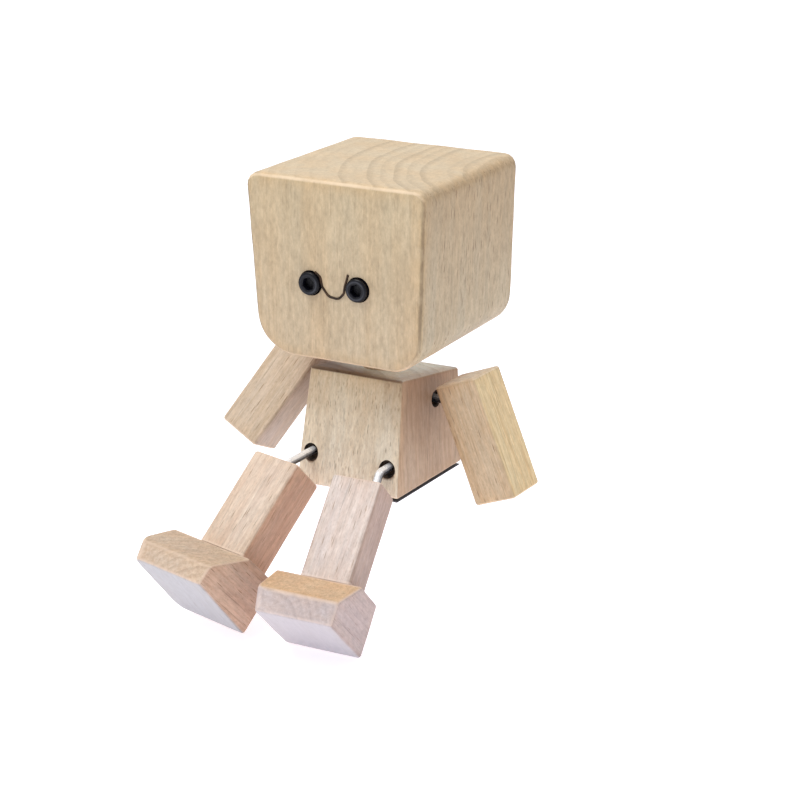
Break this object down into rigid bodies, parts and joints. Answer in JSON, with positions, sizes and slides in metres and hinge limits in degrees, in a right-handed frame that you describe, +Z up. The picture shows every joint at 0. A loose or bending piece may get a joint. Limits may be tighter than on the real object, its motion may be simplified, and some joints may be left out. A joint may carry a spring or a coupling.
{
  "type": "artist mannequin",
  "caption": "Small block-built beech figure with a large cube head, screw eyes, wedge body, and block arms and footed legs on bent steel pins, seated with its legs hanging.",
  "frame": {"origin": "middle of the flat seat face under the torso", "axes": "+Z up, the figure faces -Y, its left hand is on +X; stored seated on a ledge with its legs hanging below the seat plane"},
  "size_m": [0.0814, 0.0895, 0.1042],
  "materials": {
    "head": "pale beech, sanded, no lacquer",
    "arm_wood": "pale beech, sanded, no lacquer",
    "black_screw": "black oxide, slightly glossy",
    "foot_wood": "pale beech, sanded, no lacquer",
    "steel_pin": "bright drawn steel wire",
    "leg_wood": "pale beech, sanded, no lacquer",
    "dowel_wood": "pale beech, sanded, no lacquer",
    "dark_wire": "dark annealed wire",
    "torso": "pale beech, sanded, no lacquer"
  },
  "bodies": {
    "torso": {"torso": "torso", "neck_dowel": "dowel_wood"},
    "head": {"head": "head", "left_eye_screw": "black_screw", "right_eye_screw": "black_screw", "smile_wire": "dark_wire"},
    "left_shoulder_pin": {"left_shoulder_pin": "steel_pin"},
    "left_arm": {"left_arm": "arm_wood"},
    "left_hip_pin": {"left_hip_pin": "steel_pin"},
    "left_leg": {"left_leg": "leg_wood", "left_foot": "foot_wood"},
    "right_shoulder_pin": {"right_shoulder_pin": "steel_pin"},
    "right_arm": {"right_arm": "arm_wood"},
    "right_hip_pin": {"right_hip_pin": "steel_pin"},
    "right_leg": {"right_leg": "leg_wood", "right_foot": "foot_wood"}
  },
  "joints": [
    {"name": "neck_turn", "type": "hinge", "parent": "torso", "child": "head", "pos_m": [0, 0, 0.0351], "axis": [0, 0, 1], "continuous": true},
    {"name": "left_shoulder_swing", "type": "hinge", "parent": "torso", "child": "left_shoulder_pin", "pos_m": [0.01344, 0.004, 0.0205], "axis": [-1, 0, 0], "range_deg": [-60, 80]},
    {"name": "left_arm_turn", "type": "hinge", "parent": "left_shoulder_pin", "child": "left_arm", "pos_m": [0.01904, 0.004, 0.0205], "axis": [-0.9212, 0.0561, -0.3851], "range_deg": [-20, 20]},
    {"name": "left_hip_swing", "type": "hinge", "parent": "torso", "child": "left_hip_pin", "pos_m": [0.01085, -0.01424, 0.00775], "axis": [0, -1, 0], "range_deg": [-3, 55]},
    {"name": "left_leg_turn", "type": "hinge", "parent": "left_hip_pin", "child": "left_leg", "pos_m": [0.01085, -0.01754, 0.00775], "axis": [-0.0866, 0.682, 0.7262], "range_deg": [-11.8, 75]},
    {"name": "right_shoulder_swing", "type": "hinge", "parent": "torso", "child": "right_shoulder_pin", "pos_m": [-0.01344, 0.004, 0.0205], "axis": [-1, 0, 0], "range_deg": [-80, 59]},
    {"name": "right_arm_turn", "type": "hinge", "parent": "right_shoulder_pin", "child": "right_arm", "pos_m": [-0.01904, 0.004, 0.0205], "axis": [-0.8973, 0.0892, 0.4323], "range_deg": [-26, 14]},
    {"name": "right_hip_swing", "type": "hinge", "parent": "torso", "child": "right_hip_pin", "pos_m": [-0.01085, -0.01424, 0.00775], "axis": [0, 1, 0], "range_deg": [-3, 55]},
    {"name": "right_leg_turn", "type": "hinge", "parent": "right_hip_pin", "child": "right_leg", "pos_m": [-0.01085, -0.02364, 0.00775], "axis": [-0.1243, -0.7254, -0.677], "range_deg": [-12.5, 75]}
  ]
}
